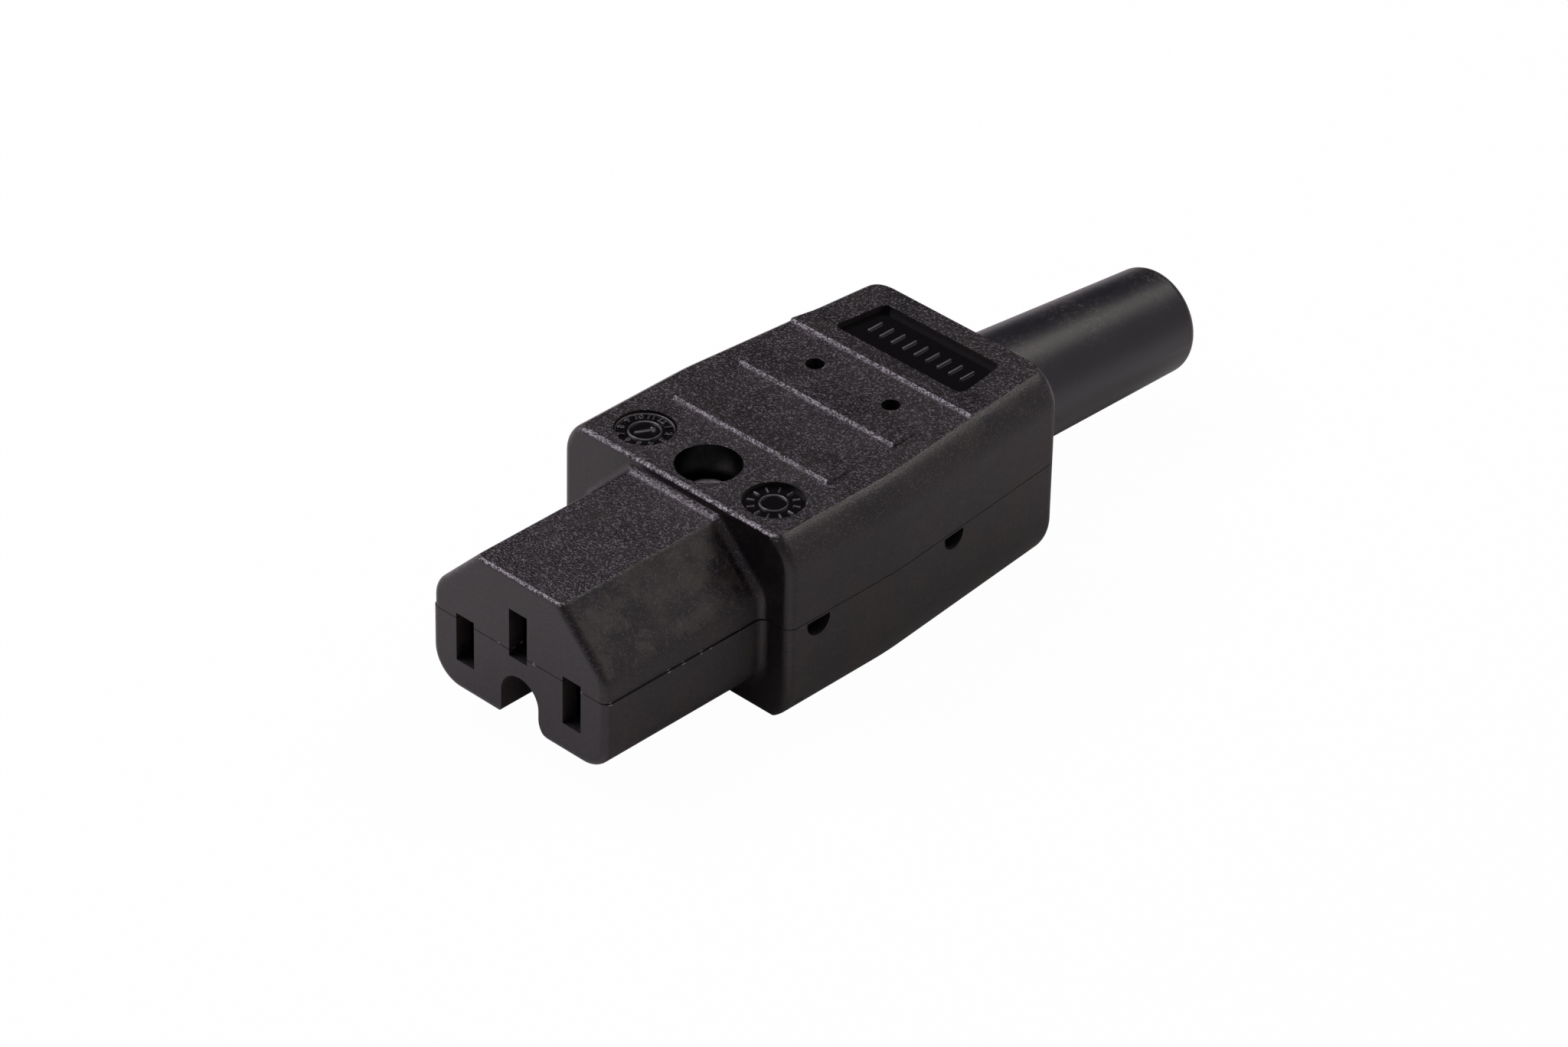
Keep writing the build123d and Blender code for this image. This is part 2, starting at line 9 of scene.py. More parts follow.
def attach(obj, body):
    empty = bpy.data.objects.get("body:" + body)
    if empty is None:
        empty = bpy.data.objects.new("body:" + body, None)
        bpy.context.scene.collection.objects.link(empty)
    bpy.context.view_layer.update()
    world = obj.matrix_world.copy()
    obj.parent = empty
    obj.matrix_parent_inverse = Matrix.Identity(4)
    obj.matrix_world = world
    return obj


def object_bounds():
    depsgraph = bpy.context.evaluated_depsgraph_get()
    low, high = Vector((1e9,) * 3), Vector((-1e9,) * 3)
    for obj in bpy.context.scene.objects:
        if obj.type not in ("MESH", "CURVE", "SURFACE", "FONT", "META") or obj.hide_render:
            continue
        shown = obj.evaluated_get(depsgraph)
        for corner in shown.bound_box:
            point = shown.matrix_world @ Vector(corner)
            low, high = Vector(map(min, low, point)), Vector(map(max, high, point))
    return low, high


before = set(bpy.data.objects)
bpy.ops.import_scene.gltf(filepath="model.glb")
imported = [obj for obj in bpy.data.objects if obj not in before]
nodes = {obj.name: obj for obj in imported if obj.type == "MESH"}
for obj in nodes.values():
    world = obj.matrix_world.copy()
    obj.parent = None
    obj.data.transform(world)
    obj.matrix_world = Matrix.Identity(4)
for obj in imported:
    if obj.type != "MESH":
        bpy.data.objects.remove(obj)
cadBox = [list(corner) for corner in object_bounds()]
mm = 0.001


class Wire:
    # one output socket, so that shader maths reads as Python
    def __init__(self, finish, socket):
        self.finish = finish
        self.socket = socket

    def combine(self, operation, *others):
        return self.finish.make("ShaderNodeMath", {"operation": operation}, [self, *others])

    def __add__(self, other):
        return self.combine("ADD", other)

    def __radd__(self, other):
        return self.combine("ADD", other)

    def __sub__(self, other):
        return self.combine("SUBTRACT", other)

    def __rsub__(self, other):
        return self.finish.make("ShaderNodeMath", {"operation": "SUBTRACT"}, [other, self])

    def __mul__(self, other):
        return self.combine("MULTIPLY", other)

    def __rmul__(self, other):
        return self.combine("MULTIPLY", other)

    def __gt__(self, other):
        return self.combine("GREATER_THAN", other)

    def __lt__(self, other):
        return self.combine("LESS_THAN", other)

    def __abs__(self):
        return self.combine("ABSOLUTE")

    def biggest(self, other):
        return self.combine("MAXIMUM", other)

    def swing(self, reach):
        # a noise lies round 0.5; this one lies round 0 and swings over the reach
        return (self - 0.5) * reach

    def smoothStep(self, low, high):
        # 0 below low, 1 above high, a soft ramp between
        return self.finish.make("ShaderNodeMapRange", {"interpolation_type": "SMOOTHSTEP"},
                                [self, low, high, 0.0, 1.0])


class Finish:
    # a material with its nodes; make() is the one way in which a node is added
    def __init__(self, name):
        self.material = bpy.data.materials.new(name)
        self.material.use_nodes = True
        self.tree = self.material.node_tree
        self.tree.nodes.clear()
        self.shader = self.tree.nodes.new("ShaderNodeBsdfPrincipled")
        self.output = self.tree.nodes.new("ShaderNodeOutputMaterial")
        self.tree.links.new(self.shader.outputs[0], self.output.inputs["Surface"])

    def make(self, kind, settings=None, inputs=None, output=0):
        node = self.tree.nodes.new(kind)
        for key, value in (settings or {}).items():
            setattr(node, key, value)
        pairs = inputs.items() if isinstance(inputs, dict) else enumerate(inputs or [])
        for key, value in pairs:
            self.put(node.inputs[key], value)
        return Wire(self, node.outputs[output])

    def put(self, socket, value):
        if isinstance(value, Wire):
            self.tree.links.new(value.socket, socket)
        else:
            socket.default_value = value

    def set(self, **values):
        # plain constants and wires for the shader's own sockets
        names = {"colour": "Base Color", "rough": "Roughness", "metal": "Metallic",
                 "specular": "Specular IOR Level", "normal": "Normal"}
        for key, value in values.items():
            if key == "colour" and not isinstance(value, Wire):
                value = (*value, 1.0)
            self.put(self.shader.inputs[names[key]], value)

    def place(self):
        return self.make("ShaderNodeTexCoord", output="Object")

    def facing(self):
        return self.make("ShaderNodeTexCoord", output="Normal")

    def axes(self, vector):
        node = self.make("ShaderNodeSeparateXYZ", None, [vector]).socket.node
        return [Wire(self, socket) for socket in node.outputs]

    def noise(self, vector, scale, detail, rough):
        return self.make("ShaderNodeTexNoise", None,
                         {"Vector": vector, "Scale": scale, "Detail": detail, "Roughness": rough})

    def cellNumber(self, vector, size, axis=0):
        # a random number from 0 to 1 for each cell of about this size in millimetres
        scale = 1.0 / (size * mm)
        cells = self.make("ShaderNodeTexVoronoi", None, {"Vector": vector, "Scale": scale}, "Color")
        return self.axes(cells)[axis]

    def blendColours(self, mask, first, second):
        # sockets 6 and 7 of a Mix node are its two colours, and output 2 is the mixed one
        mixed = self.make("ShaderNodeMix", {"data_type": "RGBA"}, {0: mask}, 2)
        node = mixed.socket.node
        for index, value in ((6, first), (7, second)):
            self.put(node.inputs[index], value if isinstance(value, Wire) else (*value, 1.0))
        return mixed

    def bump(self, height, strength, distance):
        return self.make("ShaderNodeBump", None,
                         {"Height": height, "Strength": strength, "Distance": distance})


# the moulded plastic of both shells, with lengths and places in millimetres. A noise is its scale per
# metre, detail and roughness. The other pairs are the two ends of a soft ramp: Tilt reads how far a face
# looks up, Lean how far it looks sideways, Front how far it looks to the nose, and Ramp a noise
plastic = {
    "colour": (0.0030, 0.0020, 0.0030), "specular": 0.5, "rough": 0.35,
    "clouds": (240.0, 4.0, 0.6), "roughClouds": 0.26,
    "satin": (2600.0, 4.0, 0.6), "roughSatin": 0.06, "satinDepth": 0.004,
    "sideLean": (0.70, 0.98), "sideMatt": 0.26,
    # a brown cast in clouds, less on the faces that look up: the plastic's own tone at random, and a painted
    # warm sheen where a face looks sideways
    "brown": (0.0185, 0.0135, 0.0098), "brownRamp": (0.35, 0.70), "sideSheenLean": (0.45, 0.75), "brownTop": 0.3,
    # the grain, cells of 0.19 mm, with pale flecks in it that are painted glints
    "grain": (1.0 / (0.19 * mm), 2.0, 0.6), "grainDepth": 0.10,
    "grainTilt": (0.25, 0.55), "grainLean": (0.12, 0.80), "arcTilt": (0.02, 0.50), "arcGrain": 0.25,
    "glintFleckSize": 0.15, "glintFleckStart": 0.71, "glintFleckColour": (0.100, 0.093, 0.112), "satinGlintShare": 0.12,
    # lighter brownish patches of 2.2 mm on the right slope of the nose
    "slopePatchNoise": (1.0 / (2.2 * mm), 3.0, 0.65), "slopePatchRamp": (0.42, 0.62), "slopeLean": (0.45, 0.75),
    "slopeTilt": (0.30, 0.50), "slopePatchColour": (0.036, 0.032, 0.023), "slopePatchShare": 0.75,
    # painted highlights: the bright speckle of the edges towards the nose, of the top's front edge and of
    # the grip ends
    "edgeFront": (0.12, 0.35), "edgeTilt": (0.35, 0.62), "edgeLean": (0.3, 0.5), "edgeHighlightStart": 0.20,
    "edgeHighlightColour": (0.34, 0.33, 0.36), "rootStart": 18.9, "rootTop": 11.0, "rootShare": 0.50,
    "gripStart": 28.0, "gripFoot": (11.57, 11.70), "gripEndLean": 0.5, "gripEndShare": 0.55,
    "frontEnd": 20.75, "frontShare": 0.7,
    # pale spots along the parting line of the nose
    "seam": 2.04, "seamWidth": 0.13, "seamEnd": 20.0, "seamTilt": 0.5,
    "seamSpotSize": 0.30, "seamSpotStart": 0.92, "seamSpotColour": (0.26, 0.24, 0.23),
    # the screw's bore, the half-moon pockets and the sunk floors, darkened as painted shade; the floors are
    # glossy too
    "boreY": 24.55, "boreRadius": 3.35, "boreTilt": 0.5, "boreRough": 0.3,
    "pocketTilt": 0.2, "pocketRough": 0.8, "hollowShadeColour": (0.0008, 0.0008, 0.0010),
    "floorLow": 10.6, "floorHigh": 11.4, "floorStart": 20.6, "floorTilt": 0.9, "floorRough": 0.12,
    "floorColour": (0.0016, 0.0015, 0.0020),
}


def edgeShare(y, z):
    # how much of the painted highlight speckle stays: less at the root of the nose, none at the foot of a
    # grip
    root = (y > plastic["rootStart"] * mm) * (z < plastic["rootTop"] * mm)
    low, high = plastic["gripFoot"]
    foot = (y > plastic["gripStart"] * mm) * (1.0 - z.smoothStep(low * mm, high * mm))
    return (1.0 - root * (1.0 - plastic["rootShare"])) * (1.0 - foot)


def edgeExtras(y, z, lean):
    # the painted highlight speckle also lies on the front edge of the top and on the ends of the grips
    front = (z > plastic["floorHigh"] * mm) * (y < plastic["frontEnd"] * mm) * plastic["frontShare"]
    gripEnd = (z > plastic["gripFoot"][0] * mm) * (lean > plastic["gripEndLean"]) * plastic["gripEndShare"]
    return front.biggest(gripEnd)


def sunkFloors(y, z, nz):
    between = (z > plastic["floorLow"] * mm) * (z < plastic["floorHigh"] * mm)
    return between * (nz > plastic["floorTilt"]) * (y > plastic["floorStart"] * mm)


def boreWall(x, y, nz):
    # inside a circle round the bore's axis, and not looking up
    fromBore = y - plastic["boreY"] * mm
    return (x * x + fromBore * fromBore < (plastic["boreRadius"] * mm) ** 2) * (nz < plastic["boreTilt"])


def seamChips(finish, place, y, z, nz):
    # pale spots in cells near the parting line
    seamSpots = finish.cellNumber(place, plastic["seamSpotSize"], 1) > plastic["seamSpotStart"]
    nearSeam = abs(z - plastic["seam"] * mm) < plastic["seamWidth"] * mm
    return seamSpots * nearSeam * (y < plastic["seamEnd"] * mm) * (abs(nz) < plastic["seamTilt"])


def slopeSmudges(finish, place, y, nx, nz):
    # lighter brownish patches where a face turns right and up
    slopePatchNoise = finish.noise(place, *plastic["slopePatchNoise"]).smoothStep(*plastic["slopePatchRamp"])
    slope = nx.smoothStep(*plastic["slopeLean"]) * nz.smoothStep(*plastic["slopeTilt"])
    return slopePatchNoise * slope * (y < plastic["rootStart"] * mm) * plastic["slopePatchShare"]


def shellFinish(name, isUpper):
    # grain where a face looks up or up towards the nose, satin elsewhere, gloss on the sunk floors
    finish = Finish(name)
    place = finish.place()
    x, y, z = finish.axes(place)
    nx, ny, nz = finish.axes(finish.facing())
    lean = abs(nx)
    clouds = finish.noise(place, *plastic["clouds"])
    satin = finish.noise(place, *plastic["satin"])
    grain = finish.noise(place, *plastic["grain"])

    grainMask = nz.smoothStep(*plastic["grainTilt"]) * (1.0 - lean.smoothStep(*plastic["grainLean"]))
    grainMask = grainMask.biggest(nz.smoothStep(*plastic["arcTilt"]) * plastic["arcGrain"])
    edgeHighlightMask = ((0.0 - ny).smoothStep(*plastic["edgeFront"]) * nz.smoothStep(*plastic["edgeTilt"])
                * (1.0 - lean.smoothStep(*plastic["edgeLean"])))
    rough = (plastic["rough"] + clouds.swing(plastic["roughClouds"]) + satin.swing(plastic["roughSatin"])
             + lean.smoothStep(*plastic["sideLean"]) * plastic["sideMatt"])
    if isUpper:
        floors = sunkFloors(y, z, nz)
        bore = boreWall(x, y, nz)
        grainMask = grainMask * (1.0 - floors)
        edgeHighlightMask = (edgeHighlightMask * edgeShare(y, z)).biggest(edgeExtras(y, z, lean))
        rough = rough * (1.0 - floors) + plastic["floorRough"] * floors
        rough = rough * (1.0 - bore) + plastic["boreRough"] * bore
        # painted shade: darker colours on the sunk floors and the bore's wall
        paintedHollowShade = [(floors, "floorColour"), (bore, "hollowShadeColour")]
    else:
        # painted shade: the faces that look up in the pockets are darkened
        pocket = nz > plastic["pocketTilt"]
        rough = rough.biggest(pocket * plastic["pocketRough"])
        paintedHollowShade = [(pocket, "hollowShadeColour")]

    cells = finish.cellNumber(place, plastic["glintFleckSize"])
    # painted glints: pale flecks, full on the grain and a small share on the satin
    glintFlecks = cells.smoothStep(plastic["glintFleckStart"], 1.0)
    glintFlecks = glintFlecks * grainMask + glintFlecks * (1.0 - grainMask) * plastic["satinGlintShare"]
    # painted highlight: pale speckle on the edges that look towards the nose
    paintedEdgeHighlights = cells.smoothStep(plastic["edgeHighlightStart"], 1.0) * edgeHighlightMask
    # painted warm sheen: the brown cast is stronger where a face looks sideways
    paintedSideSheen = lean.smoothStep(*plastic["sideSheenLean"]) * (1.0 - plastic["brownTop"])
    brown = clouds.smoothStep(*plastic["brownRamp"]) * (plastic["brownTop"] + paintedSideSheen)
    base = finish.blendColours(brown, plastic["colour"], plastic["brown"])
    layers = [(slopeSmudges(finish, place, y, nx, nz), "slopePatchColour"), (glintFlecks, "glintFleckColour"),
              (paintedEdgeHighlights, "edgeHighlightColour"), (seamChips(finish, place, y, z, nz), "seamSpotColour")]
    for mask, colour in layers + paintedHollowShade:
        base = finish.blendColours(mask, base, plastic[colour])

    height = grain * grainMask + satin * (1.0 - grainMask) * (plastic["satinDepth"] / plastic["grainDepth"])
    normal = finish.bump(height, 1.0, plastic["grainDepth"] * mm)
    finish.set(colour=base, rough=rough, specular=plastic["specular"], normal=normal)
    return finish.material


# raised marks on the sunk floors: the same plastic, smoother, with pale rims towards the nose that are
# painted highlights
markPlastic = {"dark": (0.0110, 0.0110, 0.0130), "pale": (0.0200, 0.0195, 0.0220), "paleRamp": (0.3, 0.7),
               "rim": (0.17, 0.167, 0.18), "rimTurn": 0.3, "rimFront": (0.25, 0.60), "rimTilt": (0.15, 0.45),
               "rimRamp": (0.25, 0.60), "clouds": (900.0, 2.0, 0.5), "rough": 0.34, "roughClouds": 0.20,
               "specular": 0.60, "bumpShare": 0.3, "bumpDepth": 0.01}


def markFinish():
    finish = Finish("markPlastic")
    nx, ny, nz = finish.axes(finish.facing())
    clouds = finish.noise(finish.place(), *markPlastic["clouds"])
    pale = clouds.smoothStep(*markPlastic["paleRamp"])
    base = finish.blendColours(pale, markPlastic["dark"], markPlastic["pale"])
    # painted highlights: pale rims where a mark's side looks towards the nose
    towardsNose = (nx * markPlastic["rimTurn"] - ny).smoothStep(*markPlastic["rimFront"])
    paintedRimHighlights = towardsNose * nz.smoothStep(*markPlastic["rimTilt"]) * clouds.smoothStep(*markPlastic["rimRamp"])
    finish.set(colour=finish.blendColours(paintedRimHighlights, base, markPlastic["rim"]),
               rough=markPlastic["rough"] + clouds.swing(markPlastic["roughClouds"]),
               specular=markPlastic["specular"],
               normal=finish.bump(clouds, markPlastic["bumpShare"], markPlastic["bumpDepth"] * mm))
    return finish.material


# boot rubber: bluish black, a little dusty, with fine pale specks along its crest that are a painted
# highlight
rubber = {"colour": (0.0058, 0.0064, 0.0104), "dust": (0.0100, 0.0100, 0.0120), "dustRamp": (0.3, 0.75),
          "clouds": (110.0, 4.0, 0.6), "fine": (3000.0, 3.0, 0.6), "rough": 0.37, "roughClouds": 0.12,
          "roughFine": 0.08, "specular": 0.5, "crestGlintSize": 0.22, "crestGlintStart": 0.55,
          "crestGlintColour": (0.046, 0.043, 0.040), "crestTilt": (0.55, 0.97), "crestRamp": (0.30, 0.62),
          "bumpShare": 0.5, "bumpDepth": 0.010}


def rubberFinish():
    finish = Finish("bootRubber")
    place = finish.place()
    clouds = finish.noise(place, *rubber["clouds"])
    fine = finish.noise(place, *rubber["fine"])
    facingUp = finish.axes(finish.facing())[2]
    crest = facingUp.smoothStep(*rubber["crestTilt"]) * clouds.smoothStep(*rubber["crestRamp"])
    # painted highlight: pale specks on the crest, where the boot faces up
    paintedCrestGlints = finish.cellNumber(place, rubber["crestGlintSize"]).smoothStep(rubber["crestGlintStart"], 1.0) * crest
    base = finish.blendColours(clouds.smoothStep(*rubber["dustRamp"]), rubber["colour"], rubber["dust"])
    rough = rubber["rough"] + clouds.swing(rubber["roughClouds"]) + fine.swing(rubber["roughFine"])
    finish.set(colour=finish.blendColours(paintedCrestGlints, base, rubber["crestGlintColour"]), rough=rough,
               specular=rubber["specular"],
               normal=finish.bump(fine, rubber["bumpShare"], rubber["bumpDepth"] * mm))
    return finish.material


# metals: colour, worn colour and roughness, and the drawing marks that they share
metals = {
    "darkSteel": {"colour": (0.60, 0.60, 0.61), "worn": (0.78, 0.78, 0.78), "rough": 0.48},
    "zincSteel": {"colour": (0.55, 0.56, 0.57), "worn": (0.68, 0.68, 0.68), "rough": 0.28},
    "springSteel": {"colour": (0.50, 0.50, 0.52), "worn": (0.62, 0.62, 0.64), "rough": 0.22},
    "contactBrass": {"colour": (0.72, 0.50, 0.22), "worn": (0.80, 0.62, 0.34), "rough": 0.26},
    "terminalBrass": {"colour": (0.68, 0.48, 0.21), "worn": (0.78, 0.60, 0.33), "rough": 0.32},
}
drawing = {"stretch": (1.0, 0.12, 1.0), "streaks": (2400.0, 3.0, 0.6), "clouds": (400.0, 2.0, 0.5),
           "wornRamp": (0.3, 0.7), "roughStreaks": 0.25, "bumpShare": 0.3, "bumpDepth": 0.006}


def metalFinish(name):
    metal = metals[name]
    finish = Finish(name)
    place = finish.place()
    stretched = finish.make("ShaderNodeMapping", None, {"Vector": place, "Scale": drawing["stretch"]})
    streaks = finish.noise(stretched, *drawing["streaks"])
    worn = finish.noise(place, *drawing["clouds"]).smoothStep(*drawing["wornRamp"])
    finish.set(colour=finish.blendColours(worn, metal["colour"], metal["worn"]),
               rough=metal["rough"] + streaks.swing(drawing["roughStreaks"]), metal=1.0,
               normal=finish.bump(streaks, drawing["bumpShare"], drawing["bumpDepth"] * mm))
    return finish.material


clampPlastic = {"colour": (0.03, 0.029, 0.03), "rough": 0.5, "fine": (1800.0, 3.0, 0.6), "roughFine": 0.15,
                "bumpShare": 0.4, "bumpDepth": 0.015}


def clampFinish():
    finish = Finish("clampPlastic")
    fine = finish.noise(finish.place(), *clampPlastic["fine"])
    finish.set(colour=clampPlastic["colour"],
               rough=clampPlastic["rough"] + fine.swing(clampPlastic["roughFine"]),
               normal=finish.bump(fine, clampPlastic["bumpShare"], clampPlastic["bumpDepth"] * mm))
    return finish.material


def dress(material, *names):
    for name in names:
        slots = nodes[name].data.materials
        slots.clear()
        slots.append(material)


print("finishes")
dress(shellFinish("upperShellPlastic", True), "upper_shell")
dress(shellFinish("lowerShellPlastic", False), "lower_shell")
dress(rubberFinish(), "boot")
dress(clampFinish(), "cord_clamp")
dress(metalFinish("darkSteel"), "assembly_screw")
poles = ("live", "neutral", "earth")
dress(metalFinish("zincSteel"), "assembly_nut", "cord_clamp_screw_left", "cord_clamp_screw_right",
      *(f"terminal_screw_{pole}" for pole in poles))
dress(metalFinish("springSteel"), *(f"contact_spring_{pole}" for pole in poles))
dress(metalFinish("contactBrass"), *(f"contact_{pole}" for pole in poles))
dress(metalFinish("terminalBrass"), *(f"terminal_block_{pole}" for pole in poles))


def addPiece(name, points, faces, material, isSmooth=True):
    # raised marks as one mesh at the origin that rides on the part
    mesh = bpy.data.meshes.new(name)
    mesh.from_pydata((points * mm).tolist(), [], faces)
    mesh.polygons.foreach_set("use_smooth", [isSmooth] * len(mesh.polygons))
    mesh.materials.append(material)
    piece = bpy.data.objects.new(name, mesh)
    bpy.context.scene.collection.objects.link(piece)
    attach(piece, "root")


# how finely a bead is made: points across it, over a rounded end and round a ring
bead = {"across": 7, "end": 5, "ring": 48, "endLimit": 0.995}


def gridFaces(rows, columns, closedRows):
    # quads of a grid of rows x columns points, with the last row joined to the first where it is closed
    row = np.arange(rows if closedRows else rows - 1)[:, None]
    column = np.arange(columns - 1)[None, :]
    nextRow = (row + 1) % rows
    corners = [row * columns + column, nextRow * columns + column,
               nextRow * columns + column + 1, row * columns + column + 1]
    return np.stack(np.broadcast_arrays(*corners), axis=-1).reshape(-1, 4).tolist()


def ridge(path, closed, width, height, floor):
    # half-round bead along a path in plan: across = w/2 cos t, up = h sin t, tapered over its open ends
    path = np.array(path, dtype=float)
    if closed:
        ahead, behind = np.roll(path, -1, axis=0), np.roll(path, 1, axis=0)
    else:
        ahead, behind = np.vstack([path[1:], path[-1:]]), np.vstack([path[:1], path[:-1]])
    along = ahead - behind
    along /= np.linalg.norm(along, axis=1, keepdims=True)
    across = np.stack([along[:, 1], -along[:, 0]], axis=1)
    turn = np.linspace(0.0, math.pi, bead["across"])
    shrink = np.ones(len(path))
    if not closed:
        run = np.concatenate([[0.0], np.cumsum(np.linalg.norm(np.diff(path, axis=0), axis=1))])
        near = np.minimum(run, run[-1] - run) / (width / 2)
        shrink = np.sqrt(1.0 - np.clip(1.0 - near, 0.0, bead["endLimit"]) ** 2)
    side = np.cos(turn)[None, :, None] * (width / 2 * shrink)[:, None, None] * across[:, None, :]
    plan = path[:, None, :] + side
    lift = floor + np.sin(turn)[None, :] * (height * shrink)[:, None]
    points = np.concatenate([plan, lift[:, :, None]], axis=2).reshape(-1, 3)
    return points, gridFaces(len(path), len(turn), closed)


def line(start, end, width):
    # points of a straight bead, close together over its rounded ends
    start, end = np.array(start, dtype=float), np.array(end, dtype=float)
    length = np.linalg.norm(end - start)
    caps = width / 2 * (1.0 - np.cos(np.linspace(0.0, math.pi / 2, bead["end"])))
    run = np.concatenate([caps, length - caps[::-1]])
    return start + (end - start) * (run / length)[:, None]


def ring(centre, radius):
    # points of a circle: centre + r (cos t, sin t)
    turn = np.linspace(0.0, 2 * math.pi, bead["ring"], endpoint=False)
    return np.array(centre) + radius * np.stack([np.cos(turn), np.sin(turn)], axis=1)


def joined(beads):
    # several beads as one mesh
    points, faces, count = [], [], 0
    for beadPoints, beadFaces in beads:
        points.append(beadPoints)
        faces += [[corner + count for corner in face] for face in beadFaces]
        count += len(beadPoints)
    return np.concatenate(points), faces


# the disc on the left: figures round a ring, and a pointer, as on a mould's date insert. The lift is the
# share of a figure's height at which its middle stands over the floor
dial = {"centre": (-8.4, 24.6), "floor": 11.15, "ring": 1.55, "rim": 2.84,
        "beadWidth": 0.24, "beadHeight": 0.18,
        "pointer": 1.05, "pointerTurn": 62.0, "pointerWidth": 0.384, "barb": 0.42,
        "figures": 12, "figureRadius": 2.28, "figureSize": 0.95, "figureHeight": 0.20, "figureLift": 1 / 3,
        "figureCurve": 3, "figureBevel": 1}


def dialBeads():
    # two rings, and a pointer of three beads that meet in its tip
    centre = np.array(dial["centre"])
    width, height, floor = (dial[key] for key in ("beadWidth", "beadHeight", "floor"))
    turn = math.radians(dial["pointerTurn"])
    axis = np.array([math.cos(turn), math.sin(turn)])
    side = np.array([-axis[1], axis[0]])
    tip = centre + axis * dial["pointer"]
    tail = centre - axis * dial["pointer"]
    barbs = (tip - (axis + side) * dial["barb"], tip - (axis - side) * dial["barb"])
    rings = (ring(centre, dial[key]) for key in ("ring", "rim"))
    beads = [ridge(circle, True, width, height, floor) for circle in rings]
    for end in (tail, *barbs):
        beads.append(ridge(line(end, tip, width), False, dial["pointerWidth"], height, floor))
    return beads


def figureMesh(text, size, height):
    # a figure as a mesh about its own middle, in millimetres: half of its height is wall, half is bevel
    curve = bpy.data.curves.new("figure", "FONT")
    curve.body = text
    curve.size = size
    curve.extrude = curve.bevel_depth = height / 4
    curve.bevel_resolution = dial["figureBevel"]
    curve.align_x = "CENTER"
    curve.align_y = "CENTER"
    curve.resolution_u = dial["figureCurve"]
    holder = bpy.data.objects.new("figure", curve)
    bpy.context.scene.collection.objects.link(holder)
    mesh = bpy.data.meshes.new_from_object(holder.evaluated_get(bpy.context.evaluated_depsgraph_get()))
    points = np.empty(len(mesh.vertices) * 3)
    mesh.vertices.foreach_get("co", points)
    faces = [list(face.vertices) for face in mesh.polygons]
    bpy.data.objects.remove(holder)
    bpy.data.curves.remove(curve)
    bpy.data.meshes.remove(mesh)
    return points.reshape(-1, 3), faces


def dialFigures():
    # each number stands on its own clock direction, its head outwards
    figures = []
    for number in range(1, dial["figures"] + 1):
        points, faces = figureMesh(str(number), dial["figureSize"], dial["figureHeight"])
        clock = math.pi / 2 - number * 2 * math.pi / dial["figures"]
        outward = np.array([math.cos(clock), math.sin(clock)])
        sideways = np.array([outward[1], -outward[0]])
        plan = (np.array(dial["centre"]) + outward * dial["figureRadius"]
                + points[:, :1] * sideways + points[:, 1:2] * outward)
        lift = points[:, 2:3] + dial["floor"] + dial["figureHeight"] * dial["figureLift"]
        figures.append((np.hstack([plan, lift]), faces))
    return figures


# the disc on the right: a plain ring with ticks round it, as on a dial
badge = {"centre": (8.4, 24.6), "floor": 11.15, "height": 0.18, "width": 0.24,
         "ring": 1.30, "ticks": 12, "tickStart": 1.80, "tickEnd": 2.60}


def badgeBeads():
    centre = np.array(badge["centre"])
    width, height, floor = (badge[key] for key in ("width", "height", "floor"))
    beads = [ridge(ring(centre, badge["ring"]), True, width, height, floor)]
    for tick in range(badge["ticks"]):
        turn = tick * 2 * math.pi / badge["ticks"]
        outward = np.array([math.cos(turn), math.sin(turn)])
        start, end = (centre + outward * badge[key] for key in ("tickStart", "tickEnd"))
        beads.append(ridge(line(start, end, width), False, width, height, floor))
    return beads


# the label panel: a row of equal bars across it
label = {"floor": 10.95, "height": 0.22, "width": 0.34, "bars": 9, "firstBar": -6.0, "step": 1.5,
         "barStart": 52.3, "barEnd": 54.3}


def labelBeads():
    width, height, floor = (label[key] for key in ("width", "height", "floor"))
    beads = []
    for bar in range(label["bars"]):
        x = label["firstBar"] + bar * label["step"]
        path = line((x, label["barStart"]), (x, label["barEnd"]), width)
        beads.append(ridge(path, False, width, height, floor))
    return beads


print("marks")
marks = markFinish()
addPiece("dial_ring", *joined(dialBeads()), marks)
addPiece("dial_figures", *joined(dialFigures()), marks, isSmooth=False)
addPiece("badge_ring", *joined(badgeBeads()), marks)
addPiece("label_marks", *joined(labelBeads()), marks)

# the room: an even glow with soft bright sides, each a direction, a strength and a sharpness. The floor is
# nearly white to the camera, with a share of its real light so that the shadow stays
studio = {"tint": (1.0, 0.90, 0.99), "glow": 0.04,
          "sides": (((0.62, 0.62, 0.48), 0.27, 3.0), ((0.74, 0.60, 0.30), 0.30, 8.0),
                    ((0.58, -0.70, 0.42), 0.22, 2.0)),
          "floorColour": (0.84, 0.84, 0.84), "floorRough": 0.9, "floorSpecular": 0.1, "floorHalf": 3.0,
          "cameraShare": 0.98, "aim": (0.0, 0.035, 0.0)}

# soft lamps: direction from the object, distance, width and height in metres, radiance and colour
lamps = {"keyBox": {"direction": (-0.57, -0.22, 0.79), "distance": 0.60, "width": 0.50, "height": 0.28,
                    "radiance": 6.6, "colour": (1.0, 0.90, 0.99)},
         "backBox": {"direction": (0.10, 0.60, 0.80), "distance": 0.60, "width": 0.28, "height": 0.28,
                     "radiance": 4.4, "colour": (1.0, 0.94, 0.88)}}

# the camera that was fitted to the photograph, lengths in millimetres but for the clip distances
camera = {"azimuth": 43.51, "elevation": 34.30, "roll": 1.27, "distance": 653.33,
          "target": (4.63, 30.0, 4.52), "focalPixels": 9148.58, "imageWidth": 2048, "sensor": 36.0,
          "clipStart": 0.01, "clipEnd": 20.0}


